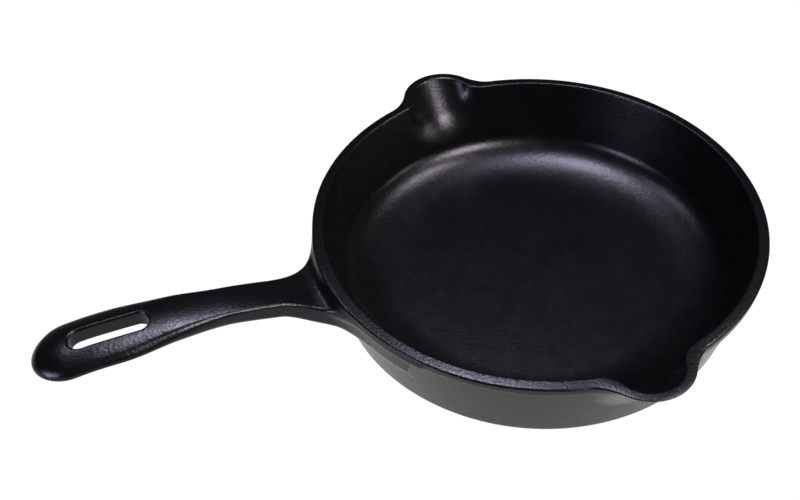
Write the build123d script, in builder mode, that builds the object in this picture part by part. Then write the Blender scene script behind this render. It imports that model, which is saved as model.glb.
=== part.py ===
"""Cast iron skillet, 8 inch class: round pan, two pour spouts, long handle with a hang slot.

Frame: origin at the centre of the flat base, +Z up, handle along -X, spouts on +Y and -Y.
The skillet is one iron casting. It is modelled whole, then divided into its named regions,
which meet face to face.
"""
from build123d import *

import os

# ---- driving dimensions, mm ------------------------------------------------
RIM_R = 102.6                # outside of the band around the rim
PAN_H = 43.0                 # base to rim plane
BASE_R = 91.2                # outside wall carried down to the base plane
WALL_TOP_R = 101.0           # outside wall carried up to the rim plane
BASE_CORNER = 5.0
BAND_H = 5.0
FLOOR_T = 4.0
MOUTH_R = 97.6               # inside edge at the rim plane
FLOOR_RISE = (72.5, 88.4, 9.8)   # the floor turns up at the first radius and meets the wall at the
                                 # second, at this height
FLOOR_BEND = 50.0            # fillet where the floor turns up
WALL_BEND = 12.0             # fillet where it meets the wall

SPOUT_R = 20.0
GROOVE_R = 15.2
SPOUT_LEAN = 1.05            # outward travel of a spout per mm of height
SPOUT_DEPTH = 34.0
GROOVE_DEPTH = 30.0
SPOUT_BLEND = 6.0
GROOVE_BLEND = 5.0
# name, side, and the spout circle's centre at the rim plane: x, distance from the pan axis
SPOUTS = [("pour_spout_left", 1, -4.5, 97.9), ("pour_spout_right", -1, 0.0, 96.3)]

NECK_X = -128.0              # the handle widens from here to its tip
NECK_W = 8.3                 # half widths
GRIP_W = 15.5
TIP_X = -213.2               # centre of the round end
FLARE = 28.0                 # blend between neck and wall, seen from above
ROOT_RING_R = 97.5           # outside wall at the height of the handle root
HANDLE_EDGE = 3.2
SLOT_X = (-207.2, -182.5)    # centres of the hang slot's round ends
SLOT_R = 4.8
SLOT_EDGE = 1.2
HANDLE_START_X = -86.0       # inside the pan wall
# side view of the handle, root to tip and back: (x, height above the rim plane)
HANDLE_TOP = [(HANDLE_START_X, -6.4), (-112, -4.0), (-130, 1.0), (-152, 5.3), (-178, 7.5), (-202, 7.6),
              (-232, 5.4)]
HANDLE_UNDER = [(-232, -3.2), (-202, -0.8), (-178, -1.2), (-152, -3.9), (-130, -8.8), (-112, -14.0),
                (HANDLE_START_X, -15.4)]
# half width of the handle past the neck, seen from above
HANDLE_SWELL = [(NECK_X, NECK_W), (-150, 9.3), (-172, 12.4), (-195, 15.2), (TIP_X, GRIP_W)]

# ---- where the regions meet ------------------------------------------------
FLOOR_SPLIT_R = 62.0         # flat floor inside this radius, curved wall outside it
SPOUT_HALF = 29.0            # half width of the length of rim that holds a spout
SPOUT_FROM_Z = 11.0
ROOT_END_X = -125.0
NECK_END_X = -160.0

FAR = 140.0                  # clears the pan on every side
os.makedirs("parts", exist_ok=True)


def bowl_of_revolution(side, corners):
    """Solid of revolution inside a side profile of (radius, height), with one fillet for each corner."""
    with BuildPart() as bowl:
        with BuildSketch(Plane.XZ) as half:
            with BuildLine():
                Polyline((0, side[0][1]), *side, (0, PAN_H), close=True)
            make_face()
            for (corner_r, corner_z), radius in zip(side, corners):
                fillet(half.vertices().sort_by_distance((corner_r, 0, corner_z))[0], radius)
        revolve(axis=Axis.Z)
    return bowl.part


def leaning_prism(side, spout_x, reach, ring_r, circle_r, blend, depth):
    """The spout circle blended into the rim circle, run up and outwards to the rim plane."""
    foot_y = side * (reach - SPOUT_LEAN * depth)
    with BuildPart() as prism:
        with BuildSketch(Plane.XY.offset(PAN_H - depth)) as outline:
            with Locations((0, foot_y - side * reach)):
                Circle(ring_r)
            with Locations(Location((spout_x, foot_y), -90 * side)):
                Circle(circle_r)
            with Locations((0, foot_y)):
                Rectangle(2 * SPOUT_HALF, 3.4 * circle_r, mode=Mode.INTERSECT)
            for flank in (-1, 1):
                fillet([v for v in outline.vertices() if 0 < flank * (v.X - spout_x) < circle_r], blend)
        extrude(amount=depth * (1 + SPOUT_LEAN**2) ** 0.5, dir=(0, side * SPOUT_LEAN, 1))
    return prism.part


# ---- the handle ------------------------------------------------------------
with BuildPart() as handle:
    with BuildSketch(Plane.XY) as plan:
        with BuildLine():
            shank = Line((HANDLE_START_X, NECK_W), (NECK_X, NECK_W))
            swell = Spline(*HANDLE_SWELL, tangents=[(-1, 0), (-1, 0)])
            mirror(shank, about=Plane.XZ)
            mirror(swell, about=Plane.XZ)
            ThreePointArc((TIP_X, GRIP_W), (TIP_X - GRIP_W, 0), (TIP_X, -GRIP_W))
            Line((HANDLE_START_X, -NECK_W), (HANDLE_START_X, NECK_W))
        make_face()
        Circle(ROOT_RING_R)
        fillet([v for v in plan.vertices() if -RIM_R < v.X < HANDLE_START_X], FLARE)
        with Locations((HANDLE_START_X - FAR, 0)):
            Rectangle(2 * FAR, 2 * FAR, mode=Mode.INTERSECT)
    extrude(amount=2 * PAN_H)
    with BuildSketch(Plane.XZ.offset(-FAR)):
        with BuildLine():
            top = Spline(*[(x, PAN_H + z) for x, z in HANDLE_TOP])
            under = Spline(*[(x, PAN_H + z) for x, z in HANDLE_UNDER])
            Line(top @ 1, under @ 0)
            Line(under @ 1, top @ 0)
        make_face()
    extrude(amount=2 * FAR, mode=Mode.INTERSECT)
    fillet(handle.edges().filter_by(GeomType.BSPLINE), HANDLE_EDGE)
    with BuildSketch(Plane.XY):
        with Locations((sum(SLOT_X) / 2, 0)):
            SlotCenterToCenter(SLOT_X[1] - SLOT_X[0], 2 * SLOT_R)
    extrude(amount=2 * PAN_H, mode=Mode.SUBTRACT)
    slot_mouths = [e for e in handle.edges().filter_by_position(Axis.X, SLOT_X[0] - SLOT_R, SLOT_X[1] + SLOT_R)
                   if abs(e.center().Y) < SLOT_R + 0.1 and e.geom_type != GeomType.LINE]
    fillet(slot_mouths, SLOT_EDGE)

# ---- the whole casting -----------------------------------------------------
with BuildPart() as casting:
    add(bowl_of_revolution([(BASE_R, 0), (WALL_TOP_R, PAN_H)], [BASE_CORNER]))
    with BuildSketch(Plane.XY.offset(PAN_H - BAND_H)):
        Circle(RIM_R)
    extrude(amount=BAND_H)
    for _, side, spout_x, reach in SPOUTS:
        add(leaning_prism(side, spout_x, reach, RIM_R, SPOUT_R, SPOUT_BLEND, SPOUT_DEPTH))
    add(handle.part)
    rise_r, wall_r, wall_z = FLOOR_RISE
    add(bowl_of_revolution([(rise_r, FLOOR_T), (wall_r, wall_z), (MOUTH_R, PAN_H)], [FLOOR_BEND, WALL_BEND]),
        mode=Mode.SUBTRACT)
    for _, side, spout_x, reach in SPOUTS:
        add(leaning_prism(side, spout_x, reach, MOUTH_R, GROOVE_R, GROOVE_BLEND, GROOVE_DEPTH),
            mode=Mode.SUBTRACT)

# ---- the regions of the casting --------------------------------------------
with BuildPart() as spout_zone:
    with BuildSketch(Plane.XY.offset(SPOUT_FROM_Z)):
        for side in (-1, 1):
            with Locations((0, side * (FLOOR_SPLIT_R + FAR / 2))):
                Rectangle(2 * SPOUT_HALF, FAR)
    extrude(amount=FAR)

with BuildPart() as band_zone:
    with BuildSketch(Plane.XY.offset(PAN_H - BAND_H)):
        Circle(RIM_R)
    extrude(amount=BAND_H)

with BuildPart() as pan_zone:
    with BuildSketch(Plane.XY):
        Circle(RIM_R)
        Circle(FLOOR_SPLIT_R, mode=Mode.SUBTRACT)
    extrude(amount=PAN_H)
    add(spout_zone.part, mode=Mode.SUBTRACT)

with BuildPart() as pan_floor:
    add(casting.part)
    with BuildSketch(Plane.XY):
        Circle(FLOOR_SPLIT_R)
    extrude(amount=PAN_H, mode=Mode.INTERSECT)

with BuildPart() as pan_wall:
    add(casting.part)
    add(pan_zone.part, mode=Mode.INTERSECT)
    add(band_zone.part, mode=Mode.SUBTRACT)

regions = {"pan_floor": pan_floor, "pan_wall": pan_wall}

for name, keep in [("rim_handle_side", Keep.BOTTOM), ("rim_front", Keep.TOP)]:
    with BuildPart() as rim_arc:
        add(casting.part)
        add(pan_zone.part, mode=Mode.INTERSECT)
        add(band_zone.part, mode=Mode.INTERSECT)
        split(bisect_by=Plane.YZ, keep=keep)
    regions[name] = rim_arc

for name, side, _, _ in SPOUTS:
    with BuildPart() as pour_spout:
        add(casting.part)
        add(spout_zone.part, mode=Mode.INTERSECT)
        split(bisect_by=Plane.XZ, keep=Keep.BOTTOM if side > 0 else Keep.TOP)
    regions[name] = pour_spout

handle_spans = {
    "handle_root": (ROOT_END_X, 0),
    "handle_neck": (NECK_END_X, ROOT_END_X),
    "handle_grip": (-2 * FAR, NECK_END_X),
}
for name, (low, high) in handle_spans.items():
    with BuildPart() as span:
        add(handle.part)
        with BuildSketch(Plane.XY):
            with Locations(((low + high) / 2, 0)):
                Rectangle(high - low, FAR)
            Circle(RIM_R, mode=Mode.SUBTRACT)
        extrude(amount=2 * PAN_H, mode=Mode.INTERSECT)
    regions[name] = span

for name, region in regions.items():
    region.part.label = name
    export_step(region.part, f"parts/{name}.step")
print("casting volume less its regions:", round(casting.part.volume - sum(r.part.volume for r in regions.values())))
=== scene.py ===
"""Looks of the cast iron skillet: the casting as one smooth surface, cut where its regions meet."""

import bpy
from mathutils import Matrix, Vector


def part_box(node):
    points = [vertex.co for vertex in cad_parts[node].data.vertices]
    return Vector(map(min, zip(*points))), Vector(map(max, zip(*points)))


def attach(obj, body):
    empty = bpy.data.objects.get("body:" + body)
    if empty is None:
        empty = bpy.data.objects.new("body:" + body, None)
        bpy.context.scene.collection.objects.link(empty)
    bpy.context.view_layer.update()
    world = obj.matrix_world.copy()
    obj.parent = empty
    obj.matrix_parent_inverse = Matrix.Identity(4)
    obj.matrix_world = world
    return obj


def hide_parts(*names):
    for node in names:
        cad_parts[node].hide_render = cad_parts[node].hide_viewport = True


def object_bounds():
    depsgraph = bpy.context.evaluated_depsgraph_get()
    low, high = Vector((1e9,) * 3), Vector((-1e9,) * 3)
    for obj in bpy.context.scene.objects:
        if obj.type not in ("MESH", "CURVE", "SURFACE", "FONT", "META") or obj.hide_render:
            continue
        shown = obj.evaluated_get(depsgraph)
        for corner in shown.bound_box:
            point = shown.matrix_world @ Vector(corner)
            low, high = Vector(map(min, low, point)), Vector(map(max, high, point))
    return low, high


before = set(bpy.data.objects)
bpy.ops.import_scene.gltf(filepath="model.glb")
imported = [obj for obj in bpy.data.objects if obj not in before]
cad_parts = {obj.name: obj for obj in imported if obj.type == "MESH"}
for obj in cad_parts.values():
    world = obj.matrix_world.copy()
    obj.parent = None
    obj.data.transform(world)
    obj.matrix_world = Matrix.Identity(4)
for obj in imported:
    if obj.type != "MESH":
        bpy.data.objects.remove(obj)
cad_bounds = [list(corner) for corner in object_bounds()]

import math

import bmesh
import bpy
import numpy as np
from mathutils import Matrix, Vector

MM = 0.001


def cad_mm(node):
    """Lowest and highest corner of a CAD node, in millimetres."""
    low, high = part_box(node)
    return np.array(low) / MM, np.array(high) / MM


# ---- driving dimensions, mm ------------------------------------------------
RIM_R = cad_mm("rim_front")[1][0]
PAN_H = cad_mm("rim_front")[1][2]
BAND_FROM_Z = cad_mm("rim_front")[0][2]
FLOOR_Z = cad_mm("pan_floor")[1][2]
FLOOR_SPLIT_R = cad_mm("pan_floor")[1][0]
SPOUT_HALF = cad_mm("pour_spout_left")[1][0]
SPOUT_FROM_Z = cad_mm("pour_spout_left")[0][2]
ROOT_END = -cad_mm("handle_root")[0][0]
NECK_END = -cad_mm("handle_neck")[0][0]
TIP = -cad_mm("handle_grip")[0][0]

BASE_R = 91.2                # outside wall carried down to the base plane
WALL_TOP_R = 101.0           # outside wall carried up to the rim plane
BASE_CORNER = 5.0
BAND_DRAFT = 0.1             # the rim band leans in as it goes down
BAND_ROUND = 1.3
BAND_DEPTH = 8.0             # reach of the rim band into the wall
BAND_BLEND = 1.5
MOUTH_R = 97.6               # inside edge at the rim plane
FLOOR_R = 86.8               # inside wall carried down to the cooking floor
FLOOR_FILLET = 27.0          # half width of the quarter ellipse between floor and wall
FLOOR_FLATTEN = 2.0          # its half width over its height
RIM_INNER_EDGE = 0.7
RIM_OUTER_EDGE = 0.7
RIM_CROWN = 0.5              # fall of the rim's top from its inner to its outer edge
RIM_WIDTH = 5.0

# spouts: side, x of the circle's centre at the rim plane, its distance from the pan axis
SPOUTS = [(1, -4.6, 97.9), (-1, 0.0, 96.2)]
SPOUT_R = 20.2
GROOVE_R = 15.2
SPOUT_LEAN = 1.08            # outward travel of a spout per mm of height
SPOUT_DEPTH = 34.0
GROOVE_DEPTH = 30.0
SPOUT_BLEND = 6.0
GROOVE_BLEND = 5.0
SPOUT_SLOPE = 0.7 * SPOUT_LEAN   # of the distance to a spout's flank with height, about midway round

# handle: u runs from the pan axis to the tip; heights count from the rim plane
HANDLE_TOP = [(100, -6.0), (110, -4.6), (125, -0.3), (150, 5.0), (175, 7.5), (200, 7.8), (228, 5.4)]
THICKNESS = [(100, 9.5), (112, 10.6), (125, 9.3), (160, 9.0), (200, 8.5), (228, 8.8)]
HALF_WIDTH = [(100, 8.2), (125, 8.3), (145, 8.7), (170, 12.2), (193, 15.6), (211, 15.5), (230, 14.4)]
CROWN = [(100, 0), (130, 0.4), (160, 1.4), (190, 3.8), (228, 3.9)]
BELLY = [(100, 0), (130, 0), (160, 0.6), (190, 1.0), (228, 1.2)]
TOP_EDGE = [(100, 1.2), (135, 1.4), (165, 2.8), (190, 3.7), (230, 3.7)]
UNDER_EDGE = [(100, 2.4), (130, 3.0), (160, 3.6), (190, 3.7), (230, 3.7)]
HANDLE_FROM = 88.0           # the handle starts inside the pan wall
NECK_FROM = 60.0             # its strip reaches further in, clear of the flare
TIP_FROM = 212.4             # the outline closes in an ellipse from here
PAST_EDGE = 1.3              # crown and belly stop falling at this many half widths
FLARE = 28.0
ROOT_RING_R = 98.5
ROOT_FILLET = 8.0
SLOT = (183.2, 207.0)        # centres of the hang slot's round ends
SLOT_R = 4.8
SLOT_EDGE = 1.2
RIM_PLANE_TO = 104.0         # past this u the rim plane rises steeply, to clear the handle
RIM_PLANE_RISE = 3.0

# surface mesh
GRID = 1.1
HANDLE_RISE = 12.0           # room above the rim plane for the handle
MOST_TURN = math.radians(14) # of the surface along one mesh edge
SPLIT_ROUNDS = 3
LEAST_GRADIENT = 0.2         # flattest slope of the distance that a step is worked out from
CUT_CLEARANCE = 0.05         # keeps the pan's round cut off the outside of the rim band
CUT_FACE = 0.8               # a face whose normal agrees less with the surface's was made by a cut


# ---- the shape as a signed distance, negative in the iron --------------------
def curve_through(knots, u):
    """Monotone smooth curve through (u, value) knots, level beyond its ends."""
    x, y = np.array(knots, float).T
    span = np.diff(x)
    slope = np.diff(y) / span
    tangent = np.concatenate([slope[:1], np.zeros(len(x) - 2), slope[-1:]])
    same_way = slope[:-1] * slope[1:] > 0
    tangent[1:-1][same_way] = (2 * slope[:-1] * slope[1:])[same_way] / (slope[:-1] + slope[1:])[same_way]
    u = np.clip(u, x[0], x[-1])
    i = np.clip(np.searchsorted(x, u, side="right") - 1, 0, len(span) - 1)
    t = (u - x[i]) / span[i]
    return (y[i] * (1 + 2 * t) * (1 - t) ** 2 + span[i] * tangent[i] * t * (1 - t) ** 2
            + y[i + 1] * t * t * (3 - 2 * t) + span[i] * tangent[i + 1] * t * t * (t - 1))


def join(a, b, blend):
    """Union of two shapes with a fillet."""
    corner = np.hypot(np.maximum(blend - a, 0), np.maximum(blend - b, 0))
    return np.maximum(blend, np.minimum(a, b)) - corner


def meet(a, b, edge):
    """Intersection of two shapes at right angles, with a rounded edge."""
    corner = np.hypot(np.maximum(edge + a, 0), np.maximum(edge + b, 0))
    return np.minimum(-edge, np.maximum(a, b)) + corner


def cup(r, z, low_r, low_z, top_r, corner, flatten=1):
    """A wall widening from low_r at low_z to top_r at the rim, on a flat bottom, with a rounded corner.

    Measured as if it were flatten times taller, which makes the corner a quarter ellipse.
    """
    z, low_z = flatten * z, flatten * low_z
    lean = (top_r - low_r) / (flatten * PAN_H - low_z)
    cos, sin = lean / math.hypot(1, lean), 1 / math.hypot(1, lean)
    wall, bottom = (r - low_r - lean * (z - low_z)) * sin, low_z - z
    a, b = wall + corner, bottom + corner
    rounded = np.sqrt(np.maximum(a * a + b * b - 2 * a * b * cos, 0)) / sin - corner
    return np.where((a > b * cos) & (b > a * cos), rounded, np.maximum(wall, bottom))


def spouts(x, y, z, radius, depth):
    """The leaning cylinders of both spouts, cut off below their depth."""
    nearest = None
    for side, spout_x, reach in SPOUTS:
        outward = side * y - reach - SPOUT_LEAN * (z - PAN_H)
        flank = (np.hypot(x - spout_x, outward) - radius) / math.hypot(1, SPOUT_SLOPE)
        flank = np.where(side * y > 0, flank, PAN_H)      # far outside, on the other half of the pan
        nearest = flank if nearest is None else np.minimum(nearest, flank)
    return np.maximum(nearest, PAN_H - depth - z)


def pan_outside(x, y, z):
    r = np.hypot(x, y)
    body = cup(r, z, BASE_R, 0, WALL_TOP_R, BASE_CORNER)
    band_mid, band_half = (PAN_H + BAND_FROM_Z) / 2, (PAN_H - BAND_FROM_Z) / 2
    band = meet(r - RIM_R + BAND_DRAFT * (PAN_H - z), np.abs(z - band_mid) - band_half, BAND_ROUND)
    band = np.maximum(band, RIM_R - BAND_DEPTH - r)
    return join(join(body, band, BAND_BLEND), spouts(x, y, z, SPOUT_R, SPOUT_DEPTH), SPOUT_BLEND)


def hollow(x, y, z):
    bowl = cup(np.hypot(x, y), z, FLOOR_R, FLOOR_Z, MOUTH_R, FLOOR_FILLET, FLOOR_FLATTEN)
    return join(bowl, spouts(x, y, z, GROOVE_R, GROOVE_DEPTH), GROOVE_BLEND)


def handle(x, y, z):
    u = -x
    half_width = curve_through(HALF_WIDTH, u)
    past = np.maximum(u - TIP_FROM, 0) * half_width / (TIP - TIP_FROM)
    off_axis = np.hypot(past, y)
    strip = np.maximum(off_axis - half_width, NECK_FROM - u)
    outline = join(np.hypot(x, y) - ROOT_RING_R, strip, FLARE)
    across = np.minimum(off_axis / half_width, PAST_EDGE) ** 2
    top = PAN_H + curve_through(HANDLE_TOP, u)
    under = top - curve_through(THICKNESS, u)
    bar = meet(outline, z - top + curve_through(CROWN, u) * across, curve_through(TOP_EDGE, u))
    bar = meet(bar, under + curve_through(BELLY, u) * across - z, curve_through(UNDER_EDGE, u))
    bar = np.maximum(bar, HANDLE_FROM - u)
    slot = np.hypot(u - np.clip(u, *SLOT), y) - SLOT_R
    return meet(bar, -slot, SLOT_EDGE)


def iron(points):
    """The whole casting, its rim cut along a plane that falls slightly towards the outer edge."""
    x, y, z = points
    pan = pan_outside(x, y, z)
    towards_edge = np.clip(1 + pan / RIM_WIDTH, 0, 1.2)
    past_rim = np.maximum(-x - RIM_PLANE_TO, 0)
    top = z - PAN_H + RIM_CROWN * towards_edge ** 2 - RIM_PLANE_RISE * past_rim
    solid = meet(join(pan, handle(x, y, z), ROOT_FILLET), top, RIM_OUTER_EDGE)
    return meet(solid, -hollow(x, y, z), RIM_INNER_EDGE)


def surface_normals(points, step=0.02):
    """Unit normals at the points, and the size of the distance's gradient there."""
    offsets = step * np.eye(3)
    gradient = np.stack([iron((points + d).T) - iron((points - d).T) for d in offsets], 1) / (2 * step)
    size = np.linalg.norm(gradient, axis=1)
    return gradient / np.maximum(size, 1e-9)[:, None], size


def onto_surface(points, steps=3):
    for _ in range(steps):
        normal, size = surface_normals(points)
        move = iron(points.T) / np.maximum(size, LEAST_GRADIENT)
        points = points - normal * np.clip(move, -1, 1)[:, None]
    return points


# ---- from the distance to a mesh ---------------------------------------------
def surface_nets(low, high, step):
    """One point per grid cell that the surface crosses, and a quad per grid edge that it crosses."""
    count = np.ceil((np.array(high) - low) / step).astype(int) + 1
    axes = [low[k] + step * np.arange(count[k]) for k in range(3)]
    y, z = np.meshgrid(axes[1], axes[2], indexing="ij")
    value = np.stack([iron((np.full_like(y, x), y, z)) for x in axes[0]])
    inside = value < 0
    corners = np.array([(a, b, c) for a in (0, 1) for b in (0, 1) for c in (0, 1)])
    filled = sum(inside[a:count[0] - 1 + a, b:count[1] - 1 + b, c:count[2] - 1 + c].astype(np.int8)
                 for a, b, c in corners)
    cells = np.argwhere((filled > 0) & (filled < 8))
    index = np.full(filled.shape, -1)
    index[tuple(cells.T)] = np.arange(len(cells))

    total, crossings = np.zeros((len(cells), 3)), np.zeros(len(cells))
    for a in corners:
        for b in corners:
            if np.abs(b - a).sum() == 1 and (b >= a).all():
                at_a, at_b = value[tuple((cells + a).T)], value[tuple((cells + b).T)]
                crossed = (at_a < 0) != (at_b < 0)
                t = np.where(crossed, at_a / np.where(crossed, at_a - at_b, 1), 0)
                total += crossed[:, None] * (a + t[:, None] * (b - a))
                crossings += crossed
    points = np.array(low) + step * (cells + total / crossings[:, None])

    quads = []
    for k in range(3):
        i, j = (k + 1) % 3, (k + 2) % 3
        ahead = np.moveaxis(inside, k, 0)[1:]
        here = np.moveaxis(inside, k, 0)[:-1]
        edges = np.argwhere(np.moveaxis(ahead != here, 0, k))
        edges = edges[(edges[:, i] > 0) & (edges[:, j] > 0) & (edges[:, i] < count[i] - 1)
                      & (edges[:, j] < count[j] - 1)]
        to_i, to_j = np.eye(3, dtype=int)[i], np.eye(3, dtype=int)[j]
        ring = [edges - to_i - to_j, edges - to_j, edges, edges - to_i]
        quad = np.stack([index[tuple(cell.T)] for cell in ring], 1)
        leaving = inside[tuple(edges.T)]
        quad[~leaving] = quad[~leaving][:, ::-1]
        quads.append(quad)
    quads = np.concatenate(quads)
    return points, np.concatenate([quads[:, [0, 1, 2]], quads[:, [0, 2, 3]]])


def split_turning_edges(points, triangles):
    """Halves each edge along which the surface turns too far, and puts the new points on the surface."""
    ends = np.sort(np.concatenate([triangles[:, [0, 1]], triangles[:, [1, 2]], triangles[:, [2, 0]]]), 1)
    edges, edge_of = np.unique(ends, axis=0, return_inverse=True)
    edge_of = edge_of.reshape(3, -1).T
    normal, _ = surface_normals(points)
    turned = (normal[edges[:, 0]] * normal[edges[:, 1]]).sum(1) < math.cos(MOST_TURN)
    middle = np.full(len(edges), -1)
    middle[turned] = len(points) + np.arange(turned.sum())
    halfway = points[edges[turned]].mean(1)
    points = np.concatenate([points, onto_surface(halfway)])

    made = []
    split = turned[edge_of]
    for corner in range(3):                      # turn each triangle so that its split edges come first
        order = [corner, (corner + 1) % 3, (corner + 2) % 3]
        t, m, s = triangles[:, order], middle[edge_of[:, order]], split[:, order]
        one = s[:, 0] & ~s[:, 1] & ~s[:, 2]
        two = s[:, 0] & s[:, 1] & ~s[:, 2]
        a, b, c = t[one].T
        ab = m[one][:, 0]
        made += [np.stack([a, ab, c], 1), np.stack([ab, b, c], 1)]
        a, b, c = t[two].T
        ab, bc = m[two][:, 0], m[two][:, 1]
        made += [np.stack([ab, b, bc], 1), np.stack([a, ab, bc], 1), np.stack([a, bc, c], 1)]
    whole, full = ~split.any(1), split.all(1)
    a, b, c = triangles[full].T
    ab, bc, ca = middle[edge_of[full]].T
    made += [triangles[whole], np.stack([a, ab, ca], 1), np.stack([ab, b, bc], 1),
             np.stack([ca, bc, c], 1), np.stack([ab, bc, ca], 1)]
    return points, np.concatenate(made)


def casting_mesh():
    margin = 3 * GRID
    low = (-TIP - margin, -RIM_R - SPOUT_R - margin, -margin)
    high = (RIM_R + margin, RIM_R + SPOUT_R + margin, PAN_H + HANDLE_RISE)
    points, triangles = surface_nets(low, high, GRID)
    points = onto_surface(points)
    for _ in range(SPLIT_ROUNDS):
        points, triangles = split_turning_edges(points, triangles)
    mesh = bpy.data.meshes.new("casting")
    mesh.from_pydata(points * MM, [], triangles.tolist())
    return mesh


# ---- cutting the casting where its regions meet --------------------------------
def cutter(name, low, high):
    """A box, in millimetres, as an object to cut with."""
    bm = bmesh.new()
    bmesh.ops.create_cube(bm, size=1)
    for v in bm.verts:
        v.co = Vector((low[k] + (v.co[k] + 0.5) * (high[k] - low[k])) * MM for k in range(3))
    return object_from(bm, name)


def round_cutter(name, radius, low_z, high_z, segments=360):
    bm = bmesh.new()
    bmesh.ops.create_cone(bm, cap_ends=True, segments=segments, radius1=radius * MM, radius2=radius * MM,
                          depth=(high_z - low_z) * MM)
    bmesh.ops.translate(bm, verts=bm.verts, vec=(0, 0, (low_z + high_z) / 2 * MM))
    return object_from(bm, name)


def object_from(bm, name):
    mesh = bpy.data.meshes.new(name)
    bm.to_mesh(mesh)
    bm.free()
    obj = bpy.data.objects.new(name, mesh)
    bpy.context.scene.collection.objects.link(obj)
    return obj


def cut(mesh, tool, operation):
    """The part of the mesh inside the tool (INTERSECT) or outside it (DIFFERENCE), closed at the cut."""
    obj = bpy.data.objects.new("being_cut", mesh)
    bpy.context.scene.collection.objects.link(obj)
    boolean = obj.modifiers.new("cut", "BOOLEAN")
    boolean.object = tool
    boolean.operation = operation
    boolean.solver = "MANIFOLD"
    bpy.context.view_layer.update()
    result = bpy.data.meshes.new_from_object(obj.evaluated_get(bpy.context.evaluated_depsgraph_get()))
    bpy.data.objects.remove(obj)
    return result


def regions(casting):
    """The casting cut into the same regions as the CAD, as {node: mesh}."""
    far = 2 * TIP
    floor = round_cutter("floor_cut", FLOOR_SPLIT_R, -far, far)
    pan = round_cutter("pan_cut", RIM_R + CUT_CLEARANCE, -far, far)
    band = cutter("band_cut", (-far, -far, BAND_FROM_Z), (far, far, far))
    spout_left = cutter("spout_left_cut", (-SPOUT_HALF, 0, SPOUT_FROM_Z), (SPOUT_HALF, far, far))
    spout_right = cutter("spout_right_cut", (-SPOUT_HALF, -far, SPOUT_FROM_Z), (SPOUT_HALF, 0, far))
    root = cutter("root_cut", (-ROOT_END, -far, -far), (far, far, far))
    neck = cutter("neck_cut", (-NECK_END, -far, -far), (far, far, far))
    front = cutter("front_cut", (0, -far, -far), (far, far, far))
    tools = [floor, pan, band, spout_left, spout_right, root, neck, front]

    found = {"pan_floor": cut(casting, floor, "INTERSECT")}
    rest = cut(casting, floor, "DIFFERENCE")
    for name, tool in [("pour_spout_left", spout_left), ("pour_spout_right", spout_right)]:
        found[name] = cut(rest, tool, "INTERSECT")
        rest = cut(rest, tool, "DIFFERENCE")
    outer = cut(rest, pan, "DIFFERENCE")
    rest = cut(rest, pan, "INTERSECT")
    found["handle_root"] = cut(outer, root, "INTERSECT")
    outer = cut(outer, root, "DIFFERENCE")
    found["handle_neck"] = cut(outer, neck, "INTERSECT")
    found["handle_grip"] = cut(outer, neck, "DIFFERENCE")
    rim = cut(rest, band, "INTERSECT")
    found["pan_wall"] = cut(rest, band, "DIFFERENCE")
    found["rim_front"] = cut(rim, front, "INTERSECT")
    found["rim_handle_side"] = cut(rim, front, "DIFFERENCE")
    for tool in tools:
        bpy.data.objects.remove(tool)
    return found


def shade_by_surface(mesh):
    """Smooth normals taken from the casting's own surface, so no seam shows where two regions meet."""
    count = len(mesh.vertices)
    co = np.empty(count * 3)
    mesh.vertices.foreach_get("co", co)
    points = co.reshape(-1, 3) / MM
    point_normal, _ = surface_normals(points)
    faces = len(mesh.polygons)
    centre, face_normal = np.empty(faces * 3), np.empty(faces * 3)
    mesh.polygons.foreach_get("center", centre)
    mesh.polygons.foreach_get("normal", face_normal)
    face_normal = face_normal.reshape(-1, 3)
    centre_normal, _ = surface_normals(centre.reshape(-1, 3) / MM)
    is_cut = (face_normal * centre_normal).sum(1) < CUT_FACE
    corners = np.empty(len(mesh.loops), int)
    mesh.loops.foreach_get("vertex_index", corners)
    sizes = np.empty(faces, int)
    mesh.polygons.foreach_get("loop_total", sizes)
    face_of = np.repeat(np.arange(faces), sizes)
    normals = np.where(is_cut[face_of][:, None], face_normal[face_of], point_normal[corners])
    mesh.shade_smooth()
    mesh.normals_split_custom_set(normals.tolist())


# ---- material ------------------------------------------------------------------
def seasoned_iron():
    """Oil-seasoned black iron: faint patches, uneven gloss and a fine cast grain."""
    material = bpy.data.materials.new("seasoned_iron")
    material.use_nodes = True
    nodes, links = material.node_tree.nodes, material.node_tree.links
    shader = nodes["Principled BSDF"]
    place = nodes.new("ShaderNodeTexCoord").outputs["Object"]

    def noise(scale, detail, roughness=0.5):
        node = nodes.new("ShaderNodeTexNoise")
        node.inputs["Scale"].default_value = scale
        node.inputs["Detail"].default_value = detail
        node.inputs["Roughness"].default_value = roughness
        links.new(place, node.inputs["Vector"])
        return node.outputs["Fac"]

    def ramp(value, stops):
        node = nodes.new("ShaderNodeValToRGB")
        while len(node.color_ramp.elements) < len(stops):
            node.color_ramp.elements.new(0.5)
        for element, (at, colour) in zip(node.color_ramp.elements, stops):
            element.position = at
            element.color = (*colour, 1)
        links.new(value, node.inputs["Fac"])
        return node.outputs["Color"]

    patches = noise(35, 4)
    links.new(ramp(patches, [(0.35, (0.0012, 0.0011, 0.0012)), (0.65, (0.0017, 0.0016, 0.0017))]),
              shader.inputs["Base Color"])
    sheen_spots = noise(160, 3)
    links.new(ramp(sheen_spots, [(0.3, (0.25,) * 3), (0.7, (0.29,) * 3)]), shader.inputs["Roughness"])
    shader.inputs["IOR"].default_value = 1.5
    shader.inputs["Specular IOR Level"].default_value = 0.20
    shader.inputs["Specular Tint"].default_value = (1.0, 0.96, 1.05, 1)

    grain = nodes.new("ShaderNodeBump")
    grain.inputs["Strength"].default_value = 1.0
    grain.inputs["Distance"].default_value = 0.00012
    links.new(noise(750, 3, 0.6), grain.inputs["Height"])
    links.new(grain.outputs["Normal"], shader.inputs["Normal"])
    return material


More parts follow.
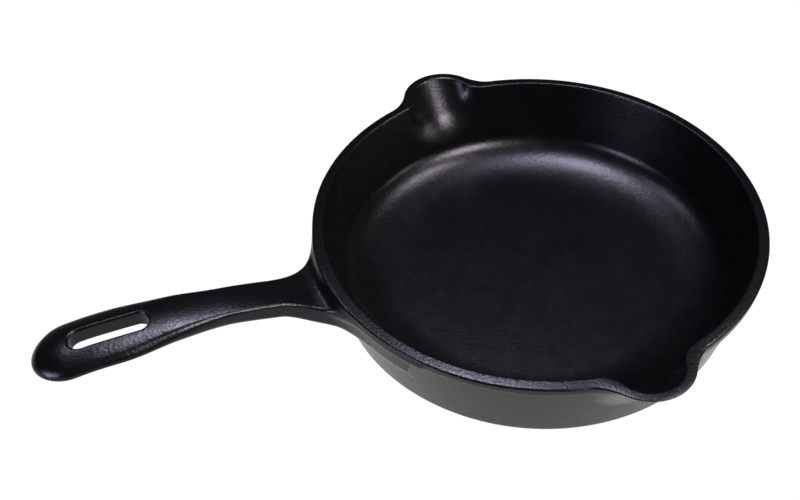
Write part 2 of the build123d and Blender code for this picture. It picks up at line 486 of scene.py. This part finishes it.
# ---- studio ----------------------------------------------------------------------
# soft boxes: name, azimuth from +X, elevation, width and height in metres, watts, colour
SOFT_BOXES = [
    ("overhead", 95, 78, (0.22, 0.16), 7.5, (0.93, 0.92, 1.16)),
    ("overhead_right", 72, 70, (0.16, 0.12), 1.2, (0.93, 0.92, 1.16)),
    ("overhead_left", 130, 54, (0.20, 0.20), 1.4, (0.95, 0.93, 1.12)),
    ("right", -8, 60, (0.20, 0.20), 5.0, (1.00, 0.97, 1.00)),
    ("front", -66, 46, (0.34, 0.30), 14.0, (1.02, 0.99, 0.98)),
    ("left_low", -168, 16, (0.30, 0.30), 5.0, (0.85, 0.90, 1.25)),
    ("right_low", -35, 12, (0.30, 0.20), 2.5, (1.05, 1.00, 0.92)),
]
BOX_DISTANCE = 1.0
FLOOR_REACH = 0.9
FLOOR_GAP = 0.0002            # the floor lies this far below the casting
FLOOR_COLOUR = 0.02
WORLD_COLOUR = (0.95, 0.93, 1.1, 1)
WORLD_STRENGTH = 0.02


def soft_box(name, azimuth, elevation, size, watts, colour):
    azimuth, elevation = math.radians(azimuth), math.radians(elevation)
    data = bpy.data.lights.new(name, "AREA")
    data.shape = "RECTANGLE"
    data.size, data.size_y = size
    data.energy = watts
    data.color = colour
    light = bpy.data.objects.new(name, data)
    light.location = BOX_DISTANCE * Vector((math.cos(azimuth) * math.cos(elevation),
                                            math.sin(azimuth) * math.cos(elevation), math.sin(elevation)))
    light.rotation_euler = light.location.to_track_quat("Z", "Y").to_euler()
    bpy.context.scene.collection.objects.link(light)


def pale_floor():
    """A glowing white table, bright enough that the casting leaves hardly any shadow on it."""
    bm = bmesh.new()
    bmesh.ops.create_circle(bm, cap_ends=True, segments=96, radius=FLOOR_REACH)
    floor = object_from(bm, "studio_floor")
    material = bpy.data.materials.new("pale_floor")
    material.use_nodes = True
    shader = material.node_tree.nodes["Principled BSDF"]
    shader.inputs["Base Color"].default_value = (FLOOR_COLOUR, FLOOR_COLOUR, FLOOR_COLOUR, 1)
    shader.inputs["Roughness"].default_value = 1.0
    shader.inputs["Specular IOR Level"].default_value = 0.0
    shader.inputs["Emission Color"].default_value = (1, 1, 1, 1)
    shader.inputs["Emission Strength"].default_value = 1.0
    floor.data.materials.append(material)
    floor.location.z = cad_bounds[0][2] - FLOOR_GAP


def studio_world():
    world = bpy.data.worlds.new("studio")
    world.use_nodes = True
    background = world.node_tree.nodes["Background"]
    background.inputs["Color"].default_value = WORLD_COLOUR
    background.inputs["Strength"].default_value = WORLD_STRENGTH
    bpy.context.scene.world = world


CAMERA_TURN = math.radians(20.04)        # the camera looks along this direction, from +Y towards +X
CAMERA_DROP = math.radians(44.70)
CAMERA_ROLL = math.radians(-2.55)
CAMERA_DISTANCE = 0.5002
CAMERA_OFFSET = (0.0624, 0.0177)         # of the rim's centre from the middle of the view
LENS = 49.5                              # mm, on a sensor of this width
SENSOR_WIDTH = 36


def camera():
    """Looks down at the rim's centre, which lies left of and below the middle of the view."""
    ahead = Vector((math.sin(CAMERA_TURN) * math.cos(CAMERA_DROP),
                    math.cos(CAMERA_TURN) * math.cos(CAMERA_DROP),
                    -math.sin(CAMERA_DROP)))
    level = Vector((math.cos(CAMERA_TURN), -math.sin(CAMERA_TURN), 0))
    upright = level.cross(ahead)
    right = math.cos(CAMERA_ROLL) * level + math.sin(CAMERA_ROLL) * upright
    up = -math.sin(CAMERA_ROLL) * level + math.cos(CAMERA_ROLL) * upright
    rim_centre = Vector((0, 0, PAN_H * MM))
    data = bpy.data.cameras.new("camera")
    data.lens = LENS
    data.sensor_width = SENSOR_WIDTH
    data.clip_start = 0.01
    obj = bpy.data.objects.new("camera", data)
    place = rim_centre - ahead * CAMERA_DISTANCE - right * CAMERA_OFFSET[0] - up * CAMERA_OFFSET[1]
    turn = Matrix((right, up, -ahead)).transposed()
    obj.matrix_world = Matrix.Translation(place) @ turn.to_4x4()
    bpy.context.scene.collection.objects.link(obj)
    bpy.context.scene.camera = obj


# ---- build -------------------------------------------------------------------------
camera()
pale_floor()
studio_world()
for box_values in SOFT_BOXES:
    soft_box(*box_values)

iron_look = seasoned_iron()
for node, mesh in regions(casting_mesh()).items():
    shade_by_surface(mesh)
    mesh.materials.clear()
    mesh.materials.append(iron_look)
    piece = bpy.data.objects.new(node + "_iron", mesh)
    bpy.context.scene.collection.objects.link(piece)
    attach(piece, "root")
    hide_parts(node)

bpy.context.scene.view_settings.view_transform = "Standard"
